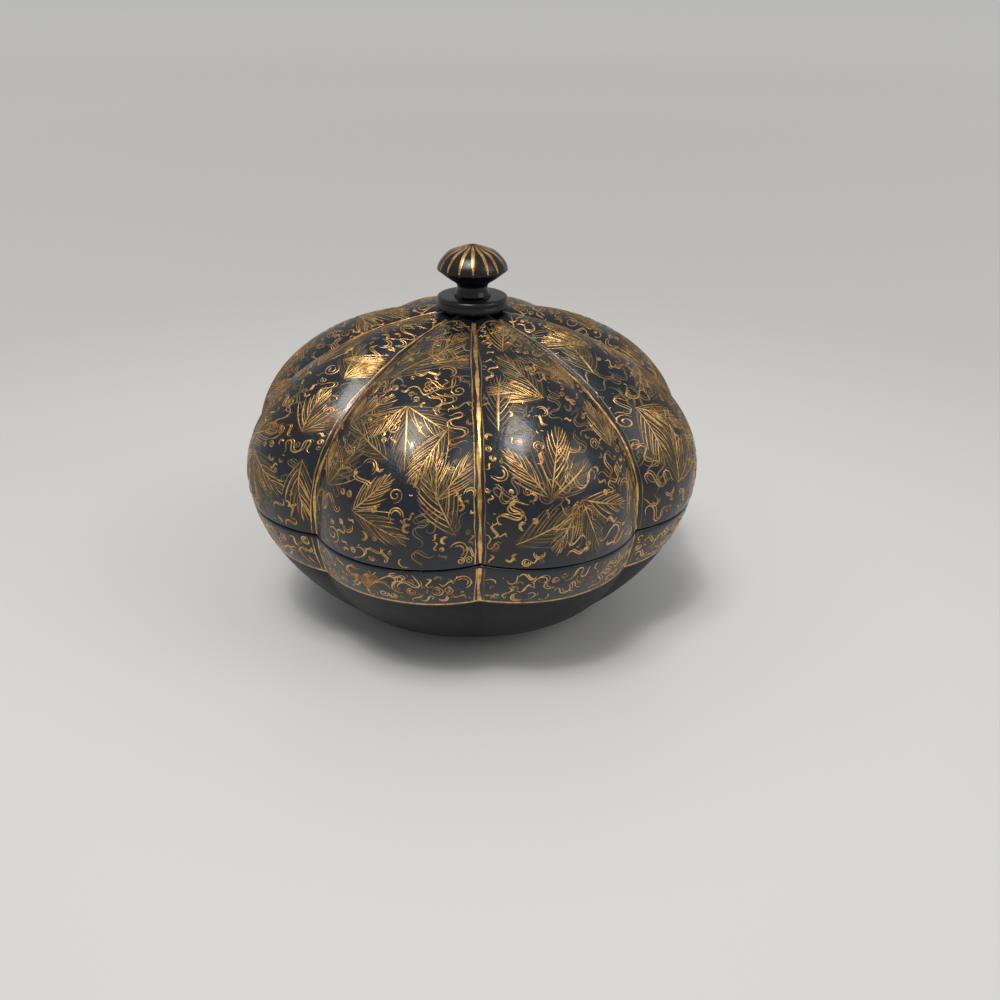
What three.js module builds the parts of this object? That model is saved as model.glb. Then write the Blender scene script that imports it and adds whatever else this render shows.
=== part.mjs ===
// A papier-mache powder box: a lobed bowl, a lobed lid that lifts off it, and a turned finial.
// Millimetres, +Z up. The foot stands on z = 0, the axis is x = y = 0, and a groove faces -Y.
import * as THREE from 'three';

// Driving dimensions of the lobed body
const lobeCount = 8;
const crestRadius = 56; // axis to the ridge of a lobe, at the widest height
const grooveDepth = 5.6; // how far a groove lies inside the ridges, at the widest height
const bowlHeight = 33; // table to the split between bowl and lid
const widestRise = 6.7; // split to the widest height
const lidRise = 42; // split to the top of the lid
const wall = 2.6; // thickness of the papier-mache
const footRadius = 25;
const footHeight = 1.2;
const footStep = 0.4; // how far the bowl's flat underside reaches past the foot
const bellyPower = 1.8; // these two set how full the bowl is between its widest height and its foot
const bellyRoundness = 1.5;

// Driving dimensions of the collar, and the gaps between pieces
const collarWall = 1.6;
const collarRise = 5; // how far the collar stands above the split
const collarDrop = 9; // how far it reaches down into the bowl
const splitGap = 0.3; // the joint line between bowl and lid
const slideGap = 0.4; // between the collar and the lid
const glueGap = 0.1; // between pieces that are glued

// Driving dimensions of the finial
const discRadius = 8.5;
const discHeight = 3;
const discRound = 0.9; // radius of the disc's edges
const neckRadius = 3.65;
const neckRise = 2.5; // top of the disc to the narrowest height of the neck
const capRadius = 8.3;
const capRise = 6.2; // top of the disc to the rim of the cap
const tipRise = 12; // top of the disc to the point of the cap
const tipRadius = 0.9; // the small nipple at the point
const tenonRadius = 2.6;
const tenonStub = 1.4; // how far the tenon shows inside the lid

// How finely the round forms are cut into facets
const stepsPerLobe = 6;
const profileSteps = 8;
const turnedSteps = 28;

// Places that follow from the sizes above
const splitHeight = bowlHeight;
const widestHeight = splitHeight + widestRise;
const baseRadius = footRadius + footStep;
const bowlUnderside = footHeight + glueGap;
const holeRadius = tenonRadius + glueGap;
const discBottom = splitHeight + lidRise + glueGap;
const discTop = discBottom + discHeight;

function material(color, roughness, metalness = 0) {
  return new THREE.MeshStandardMaterial({ color, roughness, metalness });
}

function named(name, geometry, meshMaterial) {
  const mesh = new THREE.Mesh(geometry, meshMaterial);
  mesh.name = name;
  return mesh;
}

// Distance from the axis to a lobe's ridge at a height above the table. inset is 0 on the outside
// and the wall's thickness on the inside.
function crestAt(height, inset) {
  const radius = crestRadius - inset;
  if (height > widestHeight) {
    const share = (height - widestHeight) / (lidRise - widestRise - inset);
    return radius * Math.sqrt(Math.max(0, 1 - share ** 2));
  }
  const base = baseRadius - inset;
  const share = Math.min(1, (widestHeight - height) / (widestHeight - bowlUnderside - inset));
  return base + (radius - base) * (1 - share ** bellyPower) ** (1 / bellyRoundness);
}

// A point of the ridge drawn in towards a groove, by a share of the groove's depth. Below the widest
// height it moves level, so that the rims stay flat, and the groove ends at the bowl's underside.
// Above, it moves towards the axis at the widest height, and the groove ends at the tenon's hole.
function drawnIn(radius, height, share) {
  if (height <= widestHeight) {
    const rise = (height - bowlUnderside) / (widestHeight - bowlUnderside);
    return { radius: radius - grooveDepth * share * rise, height };
  }
  const reach = Math.hypot(radius, height - widestHeight);
  const depth = (grooveDepth * share * (radius - holeRadius)) / (reach - holeRadius);
  const scale = 1 - depth / reach;
  return { radius: radius * scale, height: widestHeight + (height - widestHeight) * scale };
}

// Heights from the widest height down to the bowl's inner or outer floor, closer together below.
function bowlProfile(inset, top) {
  const bottom = bowlUnderside + inset;
  const startAngle = Math.asin((widestHeight - top) / (widestHeight - bottom));
  const points = [];
  for (let i = 0; i <= profileSteps; i += 1) {
    const angle = THREE.MathUtils.lerp(startAngle, Math.PI / 2, i / profileSteps);
    const height = widestHeight - (widestHeight - bottom) * Math.sin(angle);
    points.push(new THREE.Vector2(crestAt(height, inset), height));
  }
  return points;
}

// The lid's curve from the split up to the hole for the tenon.
function lidProfile(inset, bottom) {
  const endAngle = Math.acos(holeRadius / (crestRadius - inset));
  const points = [bottom, (bottom + widestHeight) / 2].map(
    (height) => new THREE.Vector2(crestAt(height, inset), height),
  );
  for (let i = 0; i <= profileSteps; i += 1) {
    const rise = (lidRise - widestRise - inset) * Math.sin((endAngle * i) / profileSteps);
    const height = widestHeight + rise;
    points.push(new THREE.Vector2(crestAt(height, inset), height));
  }
  return points;
}

// Turns a profile about the axis and draws its points in at the grooves.
function lobed(profile) {
  const geometry = new THREE.LatheGeometry(profile, lobeCount * stepsPerLobe);
  geometry.rotateX(Math.PI / 2);
  const position = geometry.getAttribute('position');
  for (let i = 0; i < position.count; i += 1) {
    const radius = Math.hypot(position.getX(i), position.getY(i));
    if (radius > 0) {
      const turn = (Math.atan2(position.getX(i), -position.getY(i)) / (2 * Math.PI) + 1) % 1;
      const towardGroove = Math.abs(1 - 2 * ((turn * lobeCount) % 1));
      const moved = drawnIn(radius, position.getZ(i), towardGroove ** 2);
      position.setX(i, (position.getX(i) * moved.radius) / radius);
      position.setY(i, (position.getY(i) * moved.radius) / radius);
      position.setZ(i, moved.height);
    }
  }
  return geometry;
}

function turned(profile) {
  const geometry = new THREE.LatheGeometry(profile, turnedSteps);
  geometry.rotateX(Math.PI / 2);
  return geometry;
}

// Points of a quarter circle from one angle to another, for the rounded edges of turned pieces.
function arc(centreX, centreY, radius, fromDegrees, toDegrees, steps = 3) {
  return Array.from({ length: steps + 1 }, (_, i) => {
    const angle = THREE.MathUtils.degToRad(THREE.MathUtils.lerp(fromDegrees, toDegrees, i / steps));
    return new THREE.Vector2(centreX + radius * Math.cos(angle), centreY + radius * Math.sin(angle));
  });
}

function bowlShell() {
  const outside = bowlProfile(0, splitHeight).reverse();
  const inside = bowlProfile(wall, splitHeight);
  const profile = [
    new THREE.Vector2(0, bowlUnderside),
    ...outside,
    ...inside,
    new THREE.Vector2(0, bowlUnderside + wall),
  ];
  return lobed(profile);
}

function footDisc() {
  const edge = footHeight / 3;
  return turned([
    new THREE.Vector2(0, 0),
    new THREE.Vector2(footRadius - edge, 0),
    new THREE.Vector2(footRadius, edge),
    new THREE.Vector2(footRadius, footHeight),
    new THREE.Vector2(0, footHeight),
  ]);
}

function rimCollar() {
  const outer = (height) => crestAt(Math.min(height, splitHeight), wall) - slideGap;
  const heights = [-collarDrop, -collarDrop / 2, 0, collarRise].map((rise) => splitHeight + rise);
  const outside = heights.map((height) => new THREE.Vector2(outer(height), height));
  const inside = heights.map((height) => new THREE.Vector2(outer(height) - collarWall, height));
  return lobed([...outside, ...inside.reverse(), outside[0].clone()]);
}

function lidShell() {
  const outside = lidProfile(0, splitHeight + splitGap);
  const inside = lidProfile(wall, splitHeight + splitGap).reverse();
  return lobed([...outside, ...inside, outside[0].clone()]);
}

function finialBase() {
  const edgeX = discRadius - discRound;
  const profile = [
    new THREE.Vector2(holeRadius, discBottom),
    ...arc(edgeX, discBottom + discRound, discRound, -90, 0),
    ...arc(edgeX, discTop - discRound, discRound, 0, 90),
    new THREE.Vector2(holeRadius, discTop),
  ];
  return turned([...profile, profile[0].clone()]);
}

function finialKnob() {
  const seat = discTop + glueGap;
  const tenonEnd = splitHeight + lidRise - wall - tenonStub;
  const flareBottom = new THREE.SplineCurve([
    new THREE.Vector2(neckRadius + 0.6, seat),
    new THREE.Vector2(neckRadius, discTop + neckRise),
    new THREE.Vector2((neckRadius + capRadius) / 2, discTop + (neckRise + capRise) / 2),
    new THREE.Vector2(capRadius, discTop + capRise),
  ]);
  const dome = new THREE.SplineCurve([
    new THREE.Vector2(capRadius, discTop + capRise),
    new THREE.Vector2(capRadius * 0.92, discTop + capRise + (tipRise - capRise) * 0.3),
    new THREE.Vector2(capRadius * 0.6, discTop + capRise + (tipRise - capRise) * 0.66),
    new THREE.Vector2(tipRadius, discTop + tipRise - tipRadius),
  ]);
  return turned([
    new THREE.Vector2(0, tenonEnd),
    new THREE.Vector2(tenonRadius, tenonEnd),
    new THREE.Vector2(tenonRadius, seat),
    ...flareBottom.getPoints(8),
    ...dome.getPoints(8).slice(1),
    new THREE.Vector2(0, discTop + tipRise),
  ]);
}

const box = new THREE.Group();
const painted = material(0x2b3238, 0.3);
const plain = material(0x1b2024, 0.35);
const black = material(0x101010, 0.25);
box.add(
  named('bowl_shell', bowlShell(), painted),
  named('foot_disc', footDisc(), plain.clone()),
  named('rim_collar', rimCollar(), plain),
  named('lid_shell', lidShell(), painted.clone()),
  named('finial_base', finialBase(), black),
  named('finial_knob', finialKnob(), black.clone()),
);

export default box;
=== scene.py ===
import bisect
import math
import random
import bpy
from mathutils import Matrix, Vector

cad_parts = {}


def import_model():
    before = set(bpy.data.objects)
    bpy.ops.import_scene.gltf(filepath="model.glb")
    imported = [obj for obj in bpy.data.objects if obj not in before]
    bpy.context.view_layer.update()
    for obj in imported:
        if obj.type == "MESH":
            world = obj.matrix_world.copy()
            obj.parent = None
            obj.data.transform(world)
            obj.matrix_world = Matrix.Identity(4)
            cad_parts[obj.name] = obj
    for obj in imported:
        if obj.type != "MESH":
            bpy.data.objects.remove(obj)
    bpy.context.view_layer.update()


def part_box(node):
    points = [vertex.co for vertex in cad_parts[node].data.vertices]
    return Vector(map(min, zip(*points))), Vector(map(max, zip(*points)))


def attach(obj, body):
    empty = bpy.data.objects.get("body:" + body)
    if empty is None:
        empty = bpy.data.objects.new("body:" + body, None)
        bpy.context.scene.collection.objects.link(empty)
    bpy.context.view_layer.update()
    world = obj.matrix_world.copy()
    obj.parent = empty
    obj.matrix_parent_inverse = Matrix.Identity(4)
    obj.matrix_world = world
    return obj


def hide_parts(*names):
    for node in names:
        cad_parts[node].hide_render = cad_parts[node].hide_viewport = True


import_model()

MM = 0.001

# The lobed body, in millimetres. Heights and turned radii come from the frame.
LOBES = 8
LOBE_ANGLE = 2 * math.pi / LOBES
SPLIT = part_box("bowl_shell")[1][2] / MM
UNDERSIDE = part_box("bowl_shell")[0][2] / MM
FOOT_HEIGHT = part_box("foot_disc")[1][2] / MM
FOOT_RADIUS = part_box("foot_disc")[1][0] / MM
LID_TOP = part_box("lid_shell")[1][2] / MM
LID_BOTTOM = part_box("lid_shell")[0][2] / MM
CREST_RADIUS = 56.0
GROOVE_DEPTH = 5.6
WIDEST_RISE = 6.7
WIDEST = SPLIT + WIDEST_RISE
WALL = 2.6
FOOT_STEP = 0.4
BASE_RADIUS = FOOT_RADIUS + FOOT_STEP
BELLY_POWER = 1.8
BELLY_ROUNDNESS = 1.5
HOLE_RADIUS = 2.7
EDGE = 0.5
COLLAR_RISE = 5.0
COLLAR_DROP = 9.0
COLLAR_WALL = 1.6
SLIDE_GAP = 0.4

# The finial, in millimetres
DISC_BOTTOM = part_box("finial_base")[0][2] / MM
DISC_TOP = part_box("finial_base")[1][2] / MM
DISC_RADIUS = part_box("finial_base")[1][0] / MM
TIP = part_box("finial_knob")[1][2] / MM
TENON_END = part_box("finial_knob")[0][2] / MM
TENON_RADIUS = 2.6
SEAT_GAP = 0.1
NECK_RADIUS = 3.65
NECK_FLARE = 0.6
NECK_RISE = 2.5
CAP_RADIUS = 8.3
CAP_RISE = 6.2
CAP_RIM = DISC_TOP + CAP_RISE

# How finely the meshes are cut
AROUND = 384
AROUND_FOOT = 160
AROUND_FINIAL = 128
ALONG = 56
BELOW_WIDEST = 6
CORNER_STEPS = 4
CURVE_STEPS = 8
END_RADIUS = 0.5
KNOB_END_RADIUS = 0.2
TIP_END_RADIUS = 0.3


# The shape of the lobed surface

def crest_radius(height, inset=0.0):
    """Distance from the axis to a lobe's ridge. inset is 0 outside and WALL inside."""
    radius = CREST_RADIUS - inset
    if height > WIDEST:
        share = (height - WIDEST) / (LID_TOP - WIDEST - inset)
        return radius * math.sqrt(max(0.0, 1 - share ** 2))
    base = BASE_RADIUS - inset
    share = min(1.0, (WIDEST - height) / (WIDEST - UNDERSIDE - inset))
    return base + (radius - base) * (1 - share ** BELLY_POWER) ** (1 / BELLY_ROUNDNESS)


def drawn_in(angle, radius, height):
    """The lobed surface's radius and height at an angle, from a point of the ridge's profile.

    Below the widest height a groove lies level inside the ridge, so the rims stay flat. Above, it lies
    towards the axis at the widest height.
    """
    share = abs(1 - 2 * ((angle / LOBE_ANGLE) % 1)) ** 2
    if height <= WIDEST:
        rise = (height - UNDERSIDE) / (WIDEST - UNDERSIDE)
        return radius - GROOVE_DEPTH * share * rise, height
    reach = math.hypot(radius, height - WIDEST)
    depth = GROOVE_DEPTH * share * (radius - HOLE_RADIUS) / (reach - HOLE_RADIUS)
    scale = 1 - depth / reach
    return radius * scale, WIDEST + (height - WIDEST) * scale


def point(angle, radius, height):
    """A point in metres. Angle 0 faces -Y and grows towards +X."""
    return Vector((radius * math.sin(angle), -radius * math.cos(angle), height)) * MM


def corner(radius, height, start, end, size=EDGE):
    """A rounded corner of a profile, as points round its centre, from one angle in degrees to another."""
    turned = (end - start) / CORNER_STEPS
    angles = [math.radians(start + turned * i) for i in range(CORNER_STEPS + 1)]
    return [(radius + size * math.cos(a), height + size * math.sin(a)) for a in angles]


def upper_curve(inset, bottom):
    """The lid's curve from a height near the split up to the hole, as (radius, height)."""
    heights = [bottom + (WIDEST - bottom) * i / BELOW_WIDEST for i in range(BELOW_WIDEST)]
    end = math.acos(HOLE_RADIUS / (CREST_RADIUS - inset))
    rise = LID_TOP - WIDEST - inset
    heights += [WIDEST + rise * math.sin(end * i / ALONG) for i in range(ALONG + 1)]
    return [(crest_radius(height, inset), height) for height in heights]


def lower_curve(inset, top):
    """The bowl's curve from near the split down to its floor, as (radius, height)."""
    bottom = UNDERSIDE + inset
    start = math.asin((WIDEST - top) / (WIDEST - bottom))
    angles = [start + (math.pi / 2 - start) * i / ALONG for i in range(ALONG + 1)]
    heights = [WIDEST - (WIDEST - bottom) * math.sin(angle) for angle in angles]
    return [(crest_radius(height, inset), height) for height in heights]


def curve_through(points):
    """A smooth curve through a few points, as (radius, height)."""
    padded = [points[0]] + points + [points[-1]]
    made = []
    for a, b, c, d in zip(padded, padded[1:], padded[2:], padded[3:]):
        for i in range(CURVE_STEPS):
            t = i / CURVE_STEPS
            made.append(tuple(
                0.5 * (2 * b[k] + (c[k] - a[k]) * t + (2 * a[k] - 5 * b[k] + 4 * c[k] - d[k]) * t * t
                       + (3 * b[k] - a[k] - 3 * c[k] + d[k]) * t ** 3)
                for k in range(2)))
    return made + [points[-1]]


def cap_curve():
    """The cap from its rim to its tip, as (radius, height)."""
    rise = TIP - DISC_TOP - CAP_RISE
    return curve_through([
        (CAP_RADIUS, CAP_RIM),
        (CAP_RADIUS * 0.92, CAP_RIM + rise * 0.3),
        (CAP_RADIUS * 0.68, CAP_RIM + rise * 0.66),
        (CAP_RADIUS * 0.28, CAP_RIM + rise * 0.88),
        (TIP_END_RADIUS, TIP - 0.05),
    ])


# Materials

def linear(red, green, blue):
    """A colour given as 0 to 255, as the linear values that a shader takes."""
    def one(value):
        share = value / 255
        return share / 12.92 if share <= 0.04045 else ((share + 0.055) / 1.055) ** 2.4
    return (one(red), one(green), one(blue), 1.0)


class Nodes:
    """A short way to build a node material."""

    def __init__(self, name):
        self.material = bpy.data.materials.new(name)
        self.material.use_nodes = True
        self.tree = self.material.node_tree
        self.shader = self.tree.nodes["Principled BSDF"]
        self.position = self.add("ShaderNodeTexCoord").outputs["Object"]

    def add(self, kind, **values):
        node = self.tree.nodes.new(kind)
        for key, value in values.items():
            setattr(node, key, value)
        return node

    def link(self, output, target):
        self.tree.links.new(output, target)

    def drive(self, output, socket):
        """Links an output to a socket of the shader."""
        self.link(output, self.shader.inputs[socket])

    def noise(self, scale, detail, roughness=0.55):
        """Noise with so many waves per metre."""
        node = self.add("ShaderNodeTexNoise")
        node.inputs["Scale"].default_value = scale
        node.inputs["Detail"].default_value = detail
        node.inputs["Roughness"].default_value = roughness
        self.link(self.position, node.inputs["Vector"])
        return node.outputs["Fac"]

    def ramp(self, factor, stops):
        """A colour ramp. stops is a list of (place, colour)."""
        node = self.add("ShaderNodeValToRGB")
        ends = node.color_ramp.elements
        while len(ends) < len(stops):
            ends.new(0.5)
        for element, (place, colour) in zip(ends, stops):
            element.position = place
            element.color = colour
        self.link(factor, node.inputs["Fac"])
        return node.outputs["Color"]

    def scaled(self, factor, source=(0.0, 1.0), target=(0.0, 1.0)):
        """A value moved from one range to another and held at its ends."""
        node = self.add("ShaderNodeMapRange")
        node.inputs["From Min"].default_value = source[0]
        node.inputs["From Max"].default_value = source[1]
        node.inputs["To Min"].default_value = target[0]
        node.inputs["To Max"].default_value = target[1]
        self.link(factor, node.inputs["Value"])
        return node.outputs["Result"]

    def combined(self, operation, first, second):
        node = self.add("ShaderNodeMath", operation=operation)
        self.link(first, node.inputs[0])
        self.link(second, node.inputs[1])
        return node.outputs[0]

    def bump(self, height, strength, distance):
        node = self.add("ShaderNodeBump")
        node.inputs["Strength"].default_value = strength
        node.inputs["Distance"].default_value = distance
        self.link(height, node.inputs["Height"])
        self.drive(node.outputs["Normal"], "Normal")

    def constant(self, **values):
        """Sets the shader's own sockets. An underscore stands for a space."""
        for key, value in values.items():
            self.shader.inputs[key.replace("_", " ")].default_value = value


def lacquer(name, stops, rough, coat, lumps=0.25, gloss=0.4):
    """Lacquer over papier-mache or wood: patches of colour and a slightly lumpy surface."""
    nodes = Nodes(name)
    nodes.drive(nodes.ramp(nodes.noise(95, 6, 0.6), stops), "Base Color")
    nodes.drive(nodes.scaled(nodes.noise(420, 5), target=rough), "Roughness")
    nodes.bump(nodes.noise(240, 7, 0.65), lumps, 0.0005)
    nodes.constant(Coat_Weight=coat, Coat_Roughness=0.1, Specular_IOR_Level=gloss)
    return nodes.material


def gold(name, stops, rough, metallic):
    """Gold paint that is laid on unevenly."""
    nodes = Nodes(name)
    nodes.drive(nodes.ramp(nodes.noise(260, 6, 0.7), stops), "Base Color")
    nodes.drive(nodes.scaled(nodes.noise(900, 4), target=rough), "Roughness")
    nodes.bump(nodes.noise(1500, 3), 0.3, 0.0001)
    nodes.constant(Metallic=metallic, Coat_Weight=0.25, Coat_Roughness=0.15)
    return nodes.material


painted_ground = lacquer("painted_ground", [
    (0.32, linear(16, 16, 19)),
    (0.43, linear(20, 25, 42)),
    (0.52, linear(12, 24, 30)),
    (0.62, linear(27, 23, 20)),
], rough=(0.2, 0.38), coat=0.3, lumps=0.5)
plain_ground = lacquer("plain_ground", [
    (0.3, linear(12, 13, 16)),
    (0.55, linear(17, 20, 24)),
    (0.75, linear(14, 16, 20)),
], rough=(0.36, 0.5), coat=0.0, lumps=0.2, gloss=0.18)
inside_ground = lacquer("inside_ground", [
    (0.3, linear(24, 23, 24)),
    (0.7, linear(36, 33, 33)),
], rough=(0.3, 0.5), coat=0.3)
black_gloss = lacquer("black_gloss", [
    (0.3, linear(10, 10, 12)),
    (0.7, linear(19, 18, 19)),
], rough=(0.24, 0.38), coat=0.15, lumps=0.15)
leaf_ground = lacquer("leaf_ground", [
    (0.3, linear(32, 27, 20)),
    (0.5, linear(50, 42, 30)),
    (0.7, linear(34, 30, 30)),
], rough=(0.3, 0.5), coat=0.4)
gold_line = gold("gold_line", [
    (0.30, linear(112, 74, 40)),
    (0.44, linear(188, 138, 74)),
    (0.56, linear(236, 190, 116)),
    (0.70, linear(140, 90, 50)),
], rough=(0.28, 0.5), metallic=0.85)
dull_line = gold("dull_line", [
    (0.3, linear(88, 75, 52)),
    (0.5, linear(128, 108, 72)),
    (0.7, linear(156, 122, 72)),
], rough=(0.4, 0.6), metallic=0.6)


# Building meshes

def new_object(name, vertices, faces, body, material):
    mesh = bpy.data.meshes.new(name)
    mesh.from_pydata(vertices, [], faces)
    mesh.update()
    mesh.polygons.foreach_set("use_smooth", [True] * len(mesh.polygons))
    mesh.materials.append(material)
    piece = bpy.data.objects.new(name, mesh)
    bpy.context.scene.collection.objects.link(piece)
    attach(piece, body)
    return piece


def turn(name, profile, closed, lobed, body, material, around=AROUND):
    """A solid of revolution. A closed profile is a ring, and an open one ends near the axis."""
    vertices = []
    for radius, height in profile:
        for i in range(around):
            angle = 2 * math.pi * i / around
            place = drawn_in(angle, radius, height) if lobed else (radius, height)
            vertices.append(point(angle, *place))
    faces = []
    rows = len(profile)
    for row in range(rows if closed else rows - 1):
        here = row * around
        above = ((row + 1) % rows) * around
        for i in range(around):
            after = (i + 1) % around
            faces.append((here + i, here + after, above + after, above + i))
    if not closed:
        first = range(around)
        last = range((rows - 1) * around, rows * around)
        faces += [tuple(reversed(first)), tuple(last)]
    return new_object(name, vertices, faces, body, material)


def second_material(piece, material, rows):
    """Gives the faces between these rows of a lobed piece's profile another material."""
    piece.data.materials.append(material)
    index = len(piece.data.materials) - 1
    for row in rows:
        for face in range(row * AROUND, (row + 1) * AROUND):
            piece.data.polygons[face].material_index = index


# The solid pieces

def lid_body():
    start = LID_BOTTOM + EDGE
    outer = crest_radius(start)
    inner = crest_radius(start, WALL)
    inner_corner = corner(inner + EDGE, start, -180, -90)
    outer_corner = corner(outer - EDGE, start, -90, 0)
    outside = outer_corner + upper_curve(0, start)[1:]
    inside = list(reversed(upper_curve(WALL, start)))[:-1]
    profile = inner_corner + outside + inside
    piece = turn("lid_body", profile, True, True, "lid", painted_ground)
    inside_start = len(inner_corner) + len(outside) - 1
    second_material(piece, inside_ground, [*range(inside_start, len(profile)), *range(len(inner_corner))])
    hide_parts("lid_shell")


def bowl_body():
    top = SPLIT - EDGE
    outer = crest_radius(top)
    inner = crest_radius(top, WALL)
    outside = [(END_RADIUS, UNDERSIDE)] + list(reversed(lower_curve(0, top)))[:-1]
    outer_corner = corner(outer - EDGE, top, 0, 90)
    inner_corner = corner(inner + EDGE, top, 90, 180)
    inside = lower_curve(WALL, top)[1:] + [(END_RADIUS, UNDERSIDE + WALL)]
    profile = outside + outer_corner + inner_corner + inside
    piece = turn("bowl_body", profile, False, True, "bowl", painted_ground)
    inside_start = len(outside) + len(outer_corner)
    second_material(piece, inside_ground, range(inside_start, len(profile) - 1))
    border = band.height(-BAND_DROP)
    plain_rows = [row for row in range(len(outside) - 1) if outside[row + 1][1] < border]
    second_material(piece, plain_ground, plain_rows)
    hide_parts("bowl_shell")


def foot_body():
    edge = FOOT_HEIGHT / 3
    profile = [(END_RADIUS, 0.0)] + corner(FOOT_RADIUS - edge, edge, -90, 0, edge)
    profile += [(FOOT_RADIUS, FOOT_HEIGHT), (END_RADIUS, FOOT_HEIGHT)]
    piece = turn("foot_body", profile, False, False, "bowl", plain_ground, AROUND_FOOT)
    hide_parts("foot_disc")


def collar_body():
    def outer(height):
        return crest_radius(min(height, SPLIT), WALL) - SLIDE_GAP
    top = SPLIT + COLLAR_RISE - EDGE
    heights = [SPLIT - COLLAR_DROP + i for i in range(int(COLLAR_DROP) + 1)]
    profile = [(outer(height), height) for height in heights]
    profile += corner(outer(top) - EDGE, top, 0, 90)
    profile += corner(outer(top) - COLLAR_WALL + EDGE, top, 90, 180)
    profile += [(outer(height) - COLLAR_WALL, height) for height in reversed(heights)]
    piece = turn("collar_body", profile, True, True, "bowl", inside_ground)
    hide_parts("rim_collar")


def disc_body():
    """The disc under the finial, with a line turned into its edge and a slightly sunk top."""
    bead = 0.7
    line_height = (DISC_BOTTOM + DISC_TOP) / 2 + 0.25
    line_half = 0.3
    line_depth = 0.35
    step = 0.15
    sunk_width = 2.2
    sunk_top = DISC_TOP - 0.1
    profile = corner(DISC_RADIUS - bead, DISC_BOTTOM + bead, -90, 0, bead)
    profile += [
        (DISC_RADIUS, line_height - line_half),
        (DISC_RADIUS - line_depth, line_height),
        (DISC_RADIUS - step, line_height + line_half),
    ]
    profile += corner(DISC_RADIUS - bead - step, DISC_TOP - bead, 0, 90, bead)
    profile += [(HOLE_RADIUS + sunk_width, sunk_top), (HOLE_RADIUS, sunk_top), (HOLE_RADIUS, DISC_BOTTOM)]
    piece = turn("disc_body", profile, True, False, "lid", black_gloss, AROUND_FINIAL)
    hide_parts("finial_base")


def knob_body():
    seat = DISC_TOP + SEAT_GAP
    neck = curve_through([
        (NECK_RADIUS + NECK_FLARE, seat),
        (NECK_RADIUS, DISC_TOP + NECK_RISE),
        ((NECK_RADIUS + CAP_RADIUS) / 2, DISC_TOP + (NECK_RISE + CAP_RISE) / 2),
        (CAP_RADIUS, CAP_RIM),
    ])
    tenon = [(KNOB_END_RADIUS, TENON_END), (TENON_RADIUS, TENON_END), (TENON_RADIUS, seat)]
    profile = tenon + neck + cap_curve()[1:]
    piece = turn("knob_body", profile, False, False, "lid", black_gloss, AROUND_FINIAL)
    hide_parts("finial_knob")


# The surfaces to paint on

class Skin:
    """A surface to paint on. A place is a distance along it and a distance round it, in mm."""

    def __init__(self, curve, lobed):
        self.curve = curve
        self.lobed = lobed
        self.along = [0.0]
        for (r0, h0), (r1, h1) in zip(curve, curve[1:]):
            self.along.append(self.along[-1] + math.hypot(r1 - r0, h1 - h0))

    def spot(self, along):
        """Radius and height at a distance along the curve."""
        i = min(max(bisect.bisect(self.along, along), 1), len(self.along) - 1)
        share = (along - self.along[i - 1]) / (self.along[i] - self.along[i - 1])
        (r0, h0), (r1, h1) = self.curve[i - 1], self.curve[i]
        return r0 + (r1 - r0) * share, h0 + (h1 - h0) * share

    def height(self, along):
        return self.spot(along)[1]

    def half_lobe(self, along):
        """Distance from a lobe's middle line to its groove."""
        return self.spot(along)[0] * LOBE_ANGLE / 2

    def flat(self, angle, along):
        place = self.spot(along)
        if self.lobed:
            place = drawn_in(angle, *place)
        return point(angle, *place)

    def place(self, centre, across, along, lift):
        """A point above the surface. across is the distance from the line at the angle centre."""
        radius = max(self.spot(along)[0], END_RADIUS)
        step = 0.1
        angle = centre + across / radius
        here = self.flat(angle, along)
        side = self.flat(angle + step / radius, along) - here
        up = self.flat(angle, along + step) - here
        return here + side.cross(up).normalized() * lift * MM


# The painted band's height on the bowl, and how far its skin goes on below it and ends under the split
BAND_DROP = 10.4
BAND_BELOW = 4.0
BAND_SHORT = 0.2
BAND_STEPS = 40
LID_END_GAP = 0.8


def band_curve():
    """The bowl's curve from below the painted band up to just under the split."""
    bottom = SPLIT - BAND_DROP - BAND_BELOW
    rise = BAND_DROP + BAND_BELOW - BAND_SHORT
    heights = [bottom + i * rise / BAND_STEPS for i in range(BAND_STEPS + 1)]
    return [(crest_radius(height), height) for height in heights]


def cap_skin_curve():
    """The cap's curve, from just under its rim."""
    return [(CAP_RADIUS * 0.95, CAP_RIM - 0.4)] + cap_curve()


lid_skin = Skin(upper_curve(0, LID_BOTTOM), True)
cap_skin = Skin(cap_skin_curve(), False)
band = Skin(band_curve(), True)
band.along = [value - band.along[-1] for value in band.along]
LID_END = next(s for s, (r, _) in zip(lid_skin.along, lid_skin.curve) if r < DISC_RADIUS + LID_END_GAP)


# Brush strokes, in millimetres: a stroke rises from under the surface to its middle
LINE = 0.31
LIFT = 0.09
SINK = -0.03
LINE_PROFILE = (SINK, LIFT, SINK)
GROUND_PROFILE = (SINK, 0.03, 0.035, 0.03, SINK)


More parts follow.
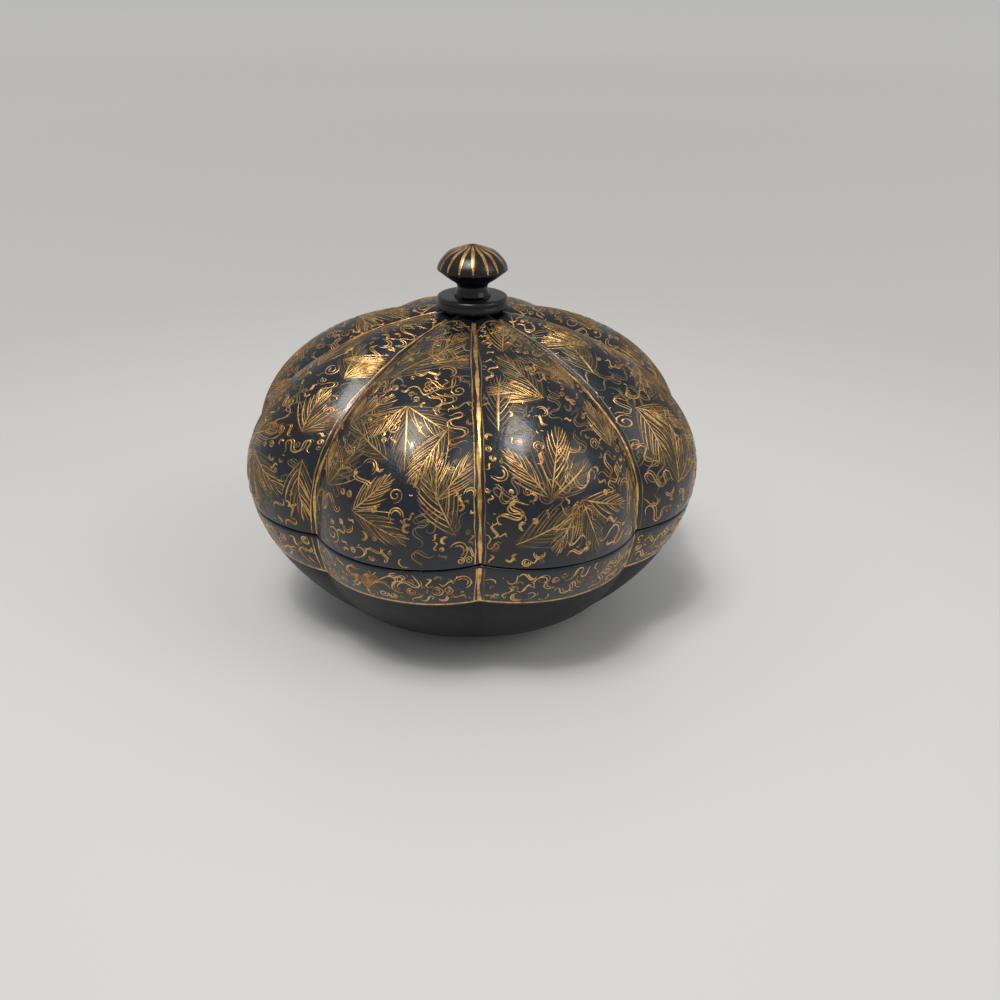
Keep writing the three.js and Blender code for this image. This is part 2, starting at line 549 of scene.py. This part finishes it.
class Painting:
    """All the strokes of one colour on one skin, as one mesh."""

    def __init__(self, skin):
        self.skin = skin
        self.vertices = []
        self.faces = []

    def stroke(self, centre, path, width, profile=LINE_PROFILE):
        """path is a list of (across, along). width is a number or a function of the share."""
        if len(path) < 2:
            return
        first = len(self.vertices)
        count = len(profile)
        for i, (across, along) in enumerate(path):
            before = path[max(i - 1, 0)]
            after = path[min(i + 1, len(path) - 1)]
            dx = after[0] - before[0]
            dy = after[1] - before[1]
            length = math.hypot(dx, dy) or 1.0
            size = width(i / (len(path) - 1)) if callable(width) else width
            for k, lift in enumerate(profile):
                offset = size * (k / (count - 1) - 0.5)
                self.vertices.append(self.skin.place(
                    centre, across + dy / length * offset, along - dx / length * offset, lift))
        for i in range(len(path) - 1):
            row = first + i * count
            for k in range(count - 1):
                self.faces.append((row + k + 1, row + k, row + count + k, row + count + k + 1))

    def ring(self, path, width):
        """A line right round the box. path is a list of (angle, along)."""
        first = len(self.vertices)
        count = len(LINE_PROFILE)
        for angle, along in path:
            for k, lift in enumerate(LINE_PROFILE):
                offset = k / (count - 1) - 0.5
                self.vertices.append(self.skin.place(angle, 0, along + offset * width, lift))
        for i in range(len(path) - 1):
            row = first + i * count
            for k in range(count - 1):
                self.faces.append((row + k, row + count + k, row + count + 1 + k, row + k + 1))

    def finish(self, name, body, material, slot):
        return new_object(name, self.vertices, self.faces, body, material)


def clipped(skin, path, margin, low, high):
    """The path up to the place where it leaves the lobe's field."""
    kept = []
    for across, along in path:
        if not low < along < high or abs(across) >= skin.half_lobe(along) - margin:
            break
        kept.append((across, along))
    return kept


def ray(start, heading, length, bend, steps, wobble=0.0, rng=None):
    """A stroke from a point. Heading 0 is up, and it bends by bend degrees on its way."""
    path = [start]
    for i in range(steps):
        shake = rng.uniform(-wobble, wobble) if rng else 0.0
        angle = math.radians(heading + bend * i / steps + shake)
        across, along = path[-1]
        path.append((across + math.sin(angle) * length / steps, along + math.cos(angle) * length / steps))
    return path


def taper(size, point_share=0.25):
    """A brush stroke's width: it swells quickly and ends in a point."""
    def width(share):
        swell = 0.3 + 0.7 * min(1, share / 0.15)
        return size * swell * min(1, (1 - share) / point_share + 0.15)
    return width


def random_place(skin, field, rng, end_gap, side_gap, least):
    """A place in a lobe's field, or None where less than the least half width is left there."""
    low, high = field
    along = rng.uniform(low + end_gap, high - end_gap)
    half = skin.half_lobe(along) - side_gap
    return None if half < least else (rng.uniform(-half, half), along)


def apart(spots, place, least):
    """Whether a place keeps clear of the spots. least gives the distance for a spot's size."""
    across, along = place
    return all(math.hypot(across - a, along - b) >= least(size) for a, b, size in spots)


# Leaves

# Leaves of a lobe: share of the half width across, distance along, heading and count of blades
LEAF_LAYOUTS = [
    [(-0.72, 15, 12, 2), (-0.30, 12, 78, 2), (0.02, 37, 168, 3), (0.62, 33, 200, 1),
     (-0.55, 44, 40, 1), (0.10, 50, 35, 2), (0.75, 8, 330, 1),
     (0.55, 16, 10, 2), (-0.75, 30, 20, 2), (0.0, 24, -60, 1)],
    [(-0.05, 39, -38, 2), (-0.30, 16, 14, 3), (0.02, 15, 165, 3), (0.62, 24, 12, 2),
     (0.25, 44, 60, 1), (-0.35, 55, 20, 1), (0.78, 18, 170, 1),
     (0.60, 40, -10, 2), (-0.75, 32, 10, 1), (-0.65, 6, 60, 1)],
    [(0.30, 38, 195, 3), (-0.60, 30, 160, 2), (-0.45, 9, 30, 2), (0.35, 12, -20, 2),
     (-0.20, 48, 5, 2), (0.80, 32, 340, 1),
     (-0.05, 26, 100, 1), (0.75, 14, 20, 2), (-0.70, 42, 30, 1)],
]
LAYOUT_OF_LOBE = (1, 2, 0, 1, 2, 0, 1, 0)
BLADE_SPREAD = 50
BLADE_LENGTHS = (13, 17)
SIDE_BLADE_SHARE = 0.85
BRIGHT_SHARES = (0.1, 0.3, 0.6, 0.85)
RIB_STEPS = 10
RIB_MARGIN = 1.2
RIB_CLEARANCE = 2.1
VEIN_STEPS = 7
VEIN_MARGIN = 1.0
VEIN_SLANT = 36
VEIN_SLANT_LOSS = 14
VEIN_BEND = -22
VEIN_WOBBLE = 1.5
VEINED_SHARE = 0.86


def vein(rib, share, side, heading, length, rng):
    """One slanting vein of a blade, from a share of its rib. The last ones are the shortest."""
    place = share * (len(rib) - 1)
    k = int(place)
    part = place - k
    start = tuple(rib[k][j] + (rib[k + 1][j] - rib[k][j]) * part for j in range(2))
    reach = length * (0.08 + 0.56 * (1 - share) ** 0.8) * rng.uniform(0.88, 1.08)
    slant = side * (VEIN_SLANT - VEIN_SLANT_LOSS * share + rng.uniform(-3, 3))
    return ray(start, heading + slant, reach, side * VEIN_BEND, VEIN_STEPS, VEIN_WOBBLE, rng)


def blade(layers, centre, base, heading, length, rng, field, bright_share):
    """One feathered blade: a dark ground, a bright midrib and slanting veins. Returns the rib."""
    bright, dull, ground = layers
    skin = bright.skin
    bend = rng.uniform(-14, 14)
    rib = clipped(skin, ray(base, heading, length, bend, RIB_STEPS), RIB_MARGIN, *field)
    if len(rib) < 4:
        return []
    width = length * rng.uniform(0.46, 0.6)
    ground.stroke(centre, clipped(skin, rib, RIB_MARGIN + width * 0.35, *field),
                  lambda share: width * math.sin(math.pi * min(1, 0.1 + 0.85 * share)), GROUND_PROFILE)
    bright.stroke(centre, rib, taper(LINE * rng.uniform(1.7, 2.4), 0.6))
    veins = rng.randint(8, 10)
    for side in (-1, 1):
        for i in range(veins):
            share = (i + rng.uniform(0.1, 0.5)) / veins * VEINED_SHARE
            path = vein(rib, share, side, heading + bend * share, length, rng)
            target = bright if rng.random() < bright_share else dull
            path = clipped(skin, path, VEIN_MARGIN, *field)
            target.stroke(centre, path, taper(LINE * rng.uniform(0.75, 1.25)))
    return rib


def leaf(layers, centre, place, rng, field):
    """A fan of blades from one point. Returns the points of their ribs."""
    across, along, heading, count = place
    base = (across * layers[0].skin.half_lobe(along), along)
    ribs = []
    for i in range(count):
        turned = (i - (count - 1) / 2) * BLADE_SPREAD + rng.uniform(-7, 7)
        length = rng.uniform(*BLADE_LENGTHS) * (1 if i == count // 2 else SIDE_BLADE_SHARE)
        bright_share = rng.choice(BRIGHT_SHARES)
        ribs += blade(layers, centre, base, heading + turned, length, rng, field, bright_share)
    return ribs


# Scrolls

CURL_KINDS = ("spiral", "hook", "loop", "wave", "wave", "hook")
CURL_STEPS = 16
CURL_MARGIN = 0.9
# The lines of a curl: degrees at both ends, and the reach there as a share of the curl's size
SPIRALS = {
    "spiral": [(0, 560, 1.0, 0.18)],
    "hook": [(0, 230, 1.0, 0.8), (15, 200, 0.66, 0.5)],
    "loop": [(0, 350, 0.75, 0.6), (0, 300, 0.4, 0.25)],
}
WAVE_LENGTH = 2.6
WAVE_SWING = 0.6
VINE_STEPS = 26
VINE_LENGTHS = (6, 14)
VINE_STRETCH = 1.7
VINE_CLEARANCE = 0.9
SHORTEST_VINE = 8
DOT_LENGTH = 0.7
DOT_BEND = 40


def spiral(start, size, heading, way, shape):
    """A line that winds round its start. heading is in radians, and way is 1 or -1."""
    across, along = start
    begin, finish, outer, inner = shape
    path = []
    for i in range(CURL_STEPS + 1):
        share = i / CURL_STEPS
        angle = heading + way * math.radians(begin + (finish - begin) * share)
        reach = size * outer + (size * inner - size * outer) * share
        path.append((across + math.sin(angle) * reach, along + math.cos(angle) * reach))
    return path


def wave(start, size, heading, way):
    """A line through its start that swings to one side and then to the other."""
    across, along = start
    path = []
    for i in range(CURL_STEPS + 1):
        share = i / CURL_STEPS
        forward = (share - 0.5) * size * WAVE_LENGTH
        sideways = math.sin(share * 2 * math.pi) * size * WAVE_SWING * way
        path.append((across + math.sin(heading) * forward + math.cos(heading) * sideways,
                     along + math.cos(heading) * forward - math.sin(heading) * sideways))
    return path


def curl(kind, start, size, heading, rng):
    """The lines of one small scroll, as a list of paths."""
    heading = math.radians(heading)
    way = rng.choice((-1, 1))
    if kind in SPIRALS:
        return [spiral(start, size, heading, way, shape) for shape in SPIRALS[kind]]
    line = wave(start, size, heading, way)
    beside = [(across + size * 0.22, along + size * 0.2) for across, along in line[2:-4]]
    return [line, beside]


def vine(start, length, heading, rng):
    """A squiggling line that wanders on in one direction."""
    path = [start]
    phase = rng.uniform(0, 6)
    waves = length / rng.uniform(3.6, 7.0)
    step = length * VINE_STRETCH / VINE_STEPS
    for i in range(VINE_STEPS):
        share = i / VINE_STEPS
        swing = 60 + 60 * math.sin(phase + 5 * share) ** 2
        angle = math.radians(heading + swing * math.sin(phase + 2 * math.pi * waves * share))
        across, along = path[-1]
        path.append((across + math.sin(angle) * step, along + math.cos(angle) * step))
    return path


def draw_vines(layer, centre, spots, count, rng, field):
    """Squiggling double lines between the leaves. The places that they take are added to spots."""
    skin = layer.skin
    for _ in range(count):
        start = random_place(skin, field, rng, end_gap=2, side_gap=1.5, least=2)
        if start is None or not apart(spots, start, lambda size: size):
            continue
        path = vine(start, rng.uniform(*VINE_LENGTHS), rng.uniform(0, 360), rng)
        path = clipped(skin, path, CURL_MARGIN, *field)
        if len(path) < SHORTEST_VINE:
            continue
        layer.stroke(centre, path, taper(LINE * rng.uniform(0.95, 1.5), 0.12))
        beside = [(across + 0.55, along + 0.45) for across, along in path[3:-4]]
        layer.stroke(centre, clipped(skin, beside, 0.8, *field), taper(LINE * 0.7, 0.2))
        spots += [(across, along, VINE_CLEARANCE) for across, along in path[::3]]


def scatter_curls(layer, centre, spots, tries, sizes, rng, field):
    """Small scrolls in the places that are still free."""
    skin = layer.skin
    for _ in range(tries):
        place = random_place(skin, field, rng, end_gap=1, side_gap=1.6, least=1)
        if place is None:
            continue
        size = rng.uniform(*sizes)
        if not apart(spots, place, lambda taken: size * 0.85 + taken * 0.7):
            continue
        spots.append((*place, size))
        for path in curl(rng.choice(CURL_KINDS), place, size, rng.uniform(0, 360), rng):
            path = clipped(skin, path, CURL_MARGIN, *field)
            layer.stroke(centre, path, taper(LINE * rng.uniform(0.85, 1.35), 0.15))


def scatter_dots(layer, centre, spots, count, rng, field):
    """Loose dots in the places that are still free."""
    for _ in range(count):
        place = random_place(layer.skin, field, rng, end_gap=0.6, side_gap=1.4, least=1)
        if place and apart(spots, place, lambda size: size * 0.8):
            path = ray(place, rng.uniform(0, 360), DOT_LENGTH, DOT_BEND, 2, 0.0, rng)
            layer.stroke(centre, path, LINE * 0.9)


# Lines

FRONT_LINE = 1.35
OTHER_LINES = (0.6, 1.1)
SIDE_LINE = 0.45
SIDE_LINE_AWAY = 1.15
LINE_DRIFT = 0.35
DRIFT_PER_STEP = 0.13
LINE_STEP = 1.5
NARROWING_RADIUS = 25
ARCH_STEPS = 14
ARCH_GAP = 1.0
ARCH_SAG = 3.5
BORDER_STEPS = 360
BORDER_WIDTH = 0.62
WEDGES = 16
WEDGE_STEPS = 12


def groove_path(skin, side, low, high, steps, rng):
    """A line that drifts along a groove. side is 0 in the middle and -1 or 1 beside it."""
    drift = side * rng.uniform(1.0, 1.3)
    path = []
    for i in range(steps + 1):
        along = low + (high - low) * i / steps
        narrow = min(1.0, skin.spot(along)[0] / NARROWING_RADIUS)
        drift += rng.uniform(-DRIFT_PER_STEP, DRIFT_PER_STEP)
        drift = max(drift, side * SIDE_LINE_AWAY - LINE_DRIFT)
        drift = min(drift, side * SIDE_LINE_AWAY + LINE_DRIFT)
        path.append((drift * narrow, along))
    return path


def unsteady(size, steps, rng):
    """A line's width that swells and shrinks from step to step."""
    phase = rng.uniform(0, 6)

    def width(share):
        return size * (0.72 + 0.28 * math.sin(phase + 0.9 * round(share * steps)))
    return width


def groove_lines(bright, dull, low, high, rng):
    """The wobbly gold line in each groove, with a thin line on each side of it."""
    steps = max(8, int((high - low) / LINE_STEP))
    for lobe in range(LOBES):
        middle = FRONT_LINE if lobe == 0 else rng.uniform(*OTHER_LINES)
        for side, layer, size in ((0, bright, middle), (-1, bright, SIDE_LINE), (1, dull, SIDE_LINE)):
            path = groove_path(layer.skin, side, low, high, steps, rng)
            layer.stroke(lobe * LOBE_ANGLE, path, unsteady(size, steps, rng))


def arch_line(layer, centre):
    """The arched line round the top of a lobe, under the finial."""
    path = []
    for i in range(ARCH_STEPS + 1):
        share = 2 * i / ARCH_STEPS - 1
        along = LID_END - ARCH_GAP - ARCH_SAG * share ** 2
        path.append((share * (layer.skin.half_lobe(along) - 0.5), along))
    layer.stroke(centre, path, LINE * 1.3)


def wedge_width(size):
    """A wedge's width: narrow at both ends and widest halfway."""
    def width(share):
        return size * (0.14 + 0.8 * math.sin(math.pi * min(1, share * 1.02)) ** 0.8)
    return width


# The painted places

SEED = 11


def paint_lid():
    rng = random.Random(SEED)
    bright, dull, ground = (Painting(lid_skin) for _ in range(3))
    field = (0.7, LID_END - 1.2)
    for lobe in range(LOBES):
        centre = (lobe + 0.5) * LOBE_ANGLE
        spots = []
        for place in LEAF_LAYOUTS[LAYOUT_OF_LOBE[lobe]]:
            ribs = leaf((bright, dull, ground), centre, place, rng, field)
            spots += [(across, along, RIB_CLEARANCE) for across, along in ribs]
        draw_vines(bright, centre, spots, 40, rng, field)
        draw_vines(dull, centre, spots, 40, rng, field)
        scatter_curls(bright, centre, spots, 500, (1.2, 2.4), rng, field)
        scatter_curls(bright, centre, spots, 500, (0.6, 1.1), rng, field)
        scatter_dots(bright, centre, spots, 60, rng, field)
        scatter_curls(dull, centre, spots, 200, (0.5, 0.9), rng, field)
        scatter_dots(dull, centre, spots, 40, rng, field)
        arch_line(bright, centre)
    groove_lines(bright, dull, 0.4, LID_END, rng)
    bright.finish("lid_gold", "lid", gold_line, "painted_lid")
    dull.finish("lid_dull_gold", "lid", dull_line, "painted_lid")
    ground.finish("lid_leaf_ground", "lid", leaf_ground, "painted_lid")


def paint_band():
    rng = random.Random(SEED + 1)
    bright, dull = Painting(band), Painting(band)
    field = (-BAND_DROP + 0.8, -0.7)
    for lobe in range(LOBES):
        centre = (lobe + 0.5) * LOBE_ANGLE
        spots = []
        draw_vines(bright, centre, spots, 14, rng, field)
        scatter_curls(bright, centre, spots, 260, (1.0, 2.2), rng, field)
        scatter_dots(bright, centre, spots, 30, rng, field)
        scatter_curls(dull, centre, spots, 160, (0.5, 1.0), rng, field)
        scatter_dots(dull, centre, spots, 40, rng, field)
    groove_lines(bright, dull, -BAND_DROP, -0.4, rng)
    border = []
    for i in range(BORDER_STEPS + 1):
        border.append((2 * math.pi * i / BORDER_STEPS, -BAND_DROP + 0.12 * math.sin(i * 0.21)))
    bright.ring(border, BORDER_WIDTH)
    bright.finish("bowl_gold", "bowl", gold_line, "painted_bowl")
    dull.finish("bowl_dull_gold", "bowl", dull_line, "painted_bowl")


def paint_cap():
    """Gold wedges from near the tip of the cap to just past its rim."""
    rng = random.Random(SEED + 2)
    layer = Painting(cap_skin)
    length = cap_skin.along[-1]
    for i in range(WEDGES):
        centre = 2 * math.pi * (i + rng.uniform(-0.08, 0.08)) / WEDGES
        low = length * rng.uniform(0.01, 0.05)
        high = length * 0.93
        path = [(0, high + (low - high) * k / WEDGE_STEPS) for k in range(WEDGE_STEPS + 1)]
        layer.stroke(centre, path, wedge_width(rng.uniform(1.2, 1.5)))
    layer.finish("cap_gold", "lid", gold_line, "striped_lacquer")


# The stage, in metres

FLOOR_HALF = 9.0
FLOOR_DROP = 0.00005
# Between these distances from the axis the paper's base colour is painted darker, from its lighter near
# colour to its far colour: painted shade, not a change in the paper
FLOOR_SHADE = (0.12, 0.30)
# How bright the camera sees the far floor on its own: distance from the axis and strength
GLOW = [(0.25, 0.0), (0.56, 0.05), (1.1, 0.135), (2.0, 0.215), (2.5, 0.235)]
GLOW_REACH = 2.5
LAMP_COLOUR = (1.0, 0.98, 0.95)
WORLD_STRENGTH = 0.6


def floor_material():
    nodes = Nodes("floor_paper")
    from_axis = nodes.add("ShaderNodeVectorMath", operation="LENGTH")
    nodes.link(nodes.position, from_axis.inputs[0])
    distance = from_axis.outputs["Value"]
    # Painted shade in the paper's base colour: lighter round the box and darker further out
    nodes.drive(nodes.ramp(nodes.scaled(distance, source=FLOOR_SHADE), [
        (0.0, linear(220, 220, 218)),
        (1.0, linear(206, 205, 201)),
    ]), "Base Color")
    rays = nodes.add("ShaderNodeLightPath").outputs
    seen = nodes.combined("ADD", rays["Is Camera Ray"], rays["Is Glossy Ray"])
    stops = [(place / GLOW_REACH, (strength, strength, strength, 1.0)) for place, strength in GLOW]
    glow = nodes.ramp(nodes.scaled(distance, source=(0.0, GLOW_REACH)), stops)
    nodes.drive(nodes.combined("MULTIPLY", seen, glow), "Emission Strength")
    nodes.constant(Roughness=0.32, Specular_IOR_Level=0.3, Emission_Color=linear(240, 239, 234))
    return nodes.material


def floor():
    mesh = bpy.data.meshes.new("floor")
    corners = [(-1, -1), (1, -1), (1, 1), (-1, 1)]
    vertices = [(x * FLOOR_HALF, y * FLOOR_HALF, -FLOOR_DROP) for x, y in corners]
    mesh.from_pydata(vertices, [], [(0, 1, 2, 3)])
    mesh.materials.append(floor_material())
    piece = bpy.data.objects.new("floor", mesh)
    bpy.context.scene.collection.objects.link(piece)


def lamp(name, place, target, size, power):
    data = bpy.data.lights.new(name, "AREA")
    data.size = size
    data.energy = power
    data.color = LAMP_COLOUR
    piece = bpy.data.objects.new(name, data)
    piece.location = place
    piece.rotation_euler = (Vector(target) - Vector(place)).to_track_quat("-Z", "Y").to_euler()
    bpy.context.scene.collection.objects.link(piece)


def world():
    made = bpy.data.worlds.new("studio")
    bpy.context.scene.world = made
    made.use_nodes = True
    background = made.node_tree.nodes["Background"]
    background.inputs["Color"].default_value = linear(206, 206, 208)
    background.inputs["Strength"].default_value = WORLD_STRENGTH


# The camera, fitted to the photograph: distances in mm from the object's axis, angles in degrees

CAMERA_DISTANCE = 294.0
CAMERA_ELEVATION = 25.4
CAMERA_ROLL = 0.83
CAMERA_TURN = 3.6
TARGET_ACROSS = 7.2
TARGET_HEIGHT = 24.6
FOCAL_PIXELS = 1150
IMAGE_PIXELS = 1000
SENSOR_WIDTH = 36


def camera():
    data = bpy.data.cameras.new("camera")
    data.sensor_width = SENSOR_WIDTH
    data.lens = FOCAL_PIXELS * SENSOR_WIDTH / IMAGE_PIXELS
    data.clip_start = 0.01
    piece = bpy.data.objects.new("camera", data)
    elevation = math.radians(CAMERA_ELEVATION)
    place = Vector((
        TARGET_ACROSS,
        -CAMERA_DISTANCE * math.cos(elevation),
        TARGET_HEIGHT + CAMERA_DISTANCE * math.sin(elevation),
    )) * MM
    piece.matrix_world = (
        Matrix.Rotation(math.radians(-CAMERA_TURN), 4, "Z")
        @ Matrix.Translation(place)
        @ Matrix.Rotation(math.pi / 2 - elevation, 4, "X")
        @ Matrix.Rotation(math.radians(CAMERA_ROLL), 4, "Z")
    )
    bpy.context.scene.collection.objects.link(piece)
    bpy.context.scene.camera = piece


bpy.context.scene.view_settings.view_transform = "Standard"
camera()
world()
floor()
lamp("key", place=(-0.35, -0.55, 1.7), target=(0, 0, 0.05), size=0.7, power=16.0)
lamp("glint", place=(-0.28, -0.62, 1.5), target=(0, 0, 0.05), size=0.12, power=2.5)
lamp("fill", place=(1.2, -0.6, 1.0), target=(0, 0, 0.04), size=0.9, power=4.5)
lid_body()
bowl_body()
foot_body()
collar_body()
disc_body()
knob_body()
paint_lid()
paint_band()
paint_cap()
